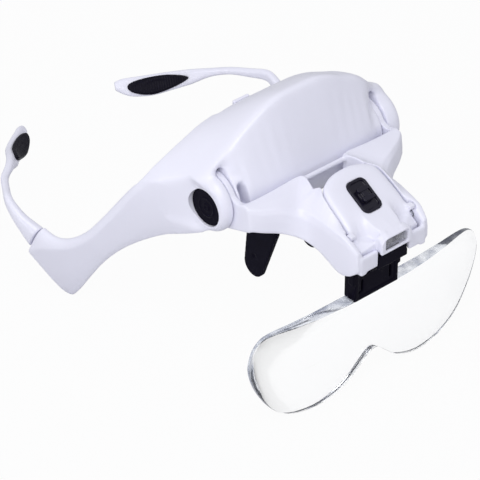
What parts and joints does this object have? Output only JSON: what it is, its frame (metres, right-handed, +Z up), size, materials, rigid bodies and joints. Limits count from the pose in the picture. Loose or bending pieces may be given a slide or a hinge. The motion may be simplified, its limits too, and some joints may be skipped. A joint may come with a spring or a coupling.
{
  "type": "headband magnifier",
  "caption": "Lit head-worn magnifier: a hood over the brow with ear arms, a tilting yoke with a lamp, and a wide goggle lens that slides into a clip below the lamp.",
  "frame": {"origin": "middle of the bounding box's footprint, on the surface that the object rests on", "axes": "+X to the wearer's left, +Y to the back of the wearer's head, +Z up"},
  "size_m": [0.1458, 0.2049, 0.1147],
  "materials": {
    "white_plastic": "satin",
    "black_plastic": "satin",
    "black_rubber": "matte",
    "clear_acrylic": "polished",
    "steel": "brushed",
    "cell_can": "satin",
    "circuit_board": "matte",
    "diode": "polished"
  },
  "bodies": {
    "headgear": {"front_shell": "white_plastic", "battery_housing": "white_plastic", "battery_tray": "black_plastic", "battery_lower": "cell_can", "battery_middle": "cell_can", "battery_upper": "cell_can", "contact_springs": "steel", "contact_plates": "steel", "tray_screws": "steel", "nose_bracket": "black_plastic", "nose_pins": "steel", "pivot_shaft_left": "steel", "pivot_shaft_right": "steel", "pivot_cap_left": "black_plastic", "pivot_cap_right": "black_plastic", "friction_washer_left": "steel", "friction_washer_right": "steel"},
    "door": {"battery_door": "white_plastic"},
    "nose_left": {"nose_pad_left": "black_rubber"},
    "nose_right": {"nose_pad_right": "black_rubber"},
    "ear_left": {"temple_left": "white_plastic", "ear_pad_left": "black_rubber"},
    "ear_right": {"temple_right": "white_plastic", "ear_pad_right": "black_rubber"},
    "tilting_yoke": {"yoke": "white_plastic", "yoke_cover_left": "white_plastic", "yoke_cover_right": "white_plastic", "yoke_screws": "steel", "clip_bracket": "black_plastic", "bracket_screws": "steel", "clip_pin": "steel"},
    "lamp": {"lamp_cover": "white_plastic", "lamp_base": "white_plastic", "lamp_pins": "steel", "lamp_screws": "steel", "led_board": "circuit_board", "led_left": "diode", "led_right": "diode", "led_window": "clear_acrylic", "switch_frame": "black_plastic", "switch_body": "black_plastic"},
    "slider": {"switch_slider": "black_plastic"},
    "clip": {"lens_clip": "black_plastic", "clip_spring": "steel"},
    "goggle_lens": {"lens": "clear_acrylic"}
  },
  "joints": [
    {"name": "yoke_tilt", "type": "hinge", "parent": "headgear", "child": "tilting_yoke", "pos_m": [0, -0.04145, 0.08], "axis": [-1, 0, 0], "range_deg": [0, 25]},
    {"name": "lamp_tilt", "type": "hinge", "parent": "tilting_yoke", "child": "lamp", "pos_m": [0, -0.09305, 0.0744], "axis": [1, 0, 0], "range_deg": [0, 8]},
    {"name": "switch_slide", "type": "slide", "parent": "lamp", "child": "slider", "axis": [0, -0.8686, -0.4955], "range_m": [-0.0015, 0.0015]},
    {"name": "clip_tilt", "type": "hinge", "parent": "tilting_yoke", "child": "clip", "pos_m": [0, -0.09445, 0.0606], "axis": [-1, 0, 0], "range_deg": [0, 15]},
    {"name": "lens_release", "type": "slide", "parent": "clip", "child": "goggle_lens", "axis": [0, 0, -1], "range_m": [0, 0.009]},
    {"name": "door_hinge", "type": "hinge", "parent": "headgear", "child": "door", "pos_m": [0, -0.03155, 0.075], "axis": [-1, 0, 0], "range_deg": [0, 80]},
    {"name": "nose_pad_left_rock", "type": "hinge", "parent": "headgear", "child": "nose_left", "pos_m": [0.015, -0.03945, 0.0485], "axis": [1, 0, 0], "range_deg": [-8, 8]},
    {"name": "nose_pad_right_rock", "type": "hinge", "parent": "headgear", "child": "nose_right", "pos_m": [-0.015, -0.03945, 0.0485], "axis": [1, 0, 0], "range_deg": [-8, 8]},
    {"name": "ear_arm_left_plug", "type": "slide", "parent": "headgear", "child": "ear_left", "axis": [0, 0.891, 0.454], "range_m": [0, 0.012]},
    {"name": "ear_arm_right_plug", "type": "slide", "parent": "headgear", "child": "ear_right", "axis": [0, 0.891, 0.454], "range_m": [0, 0.012]}
  ]
}
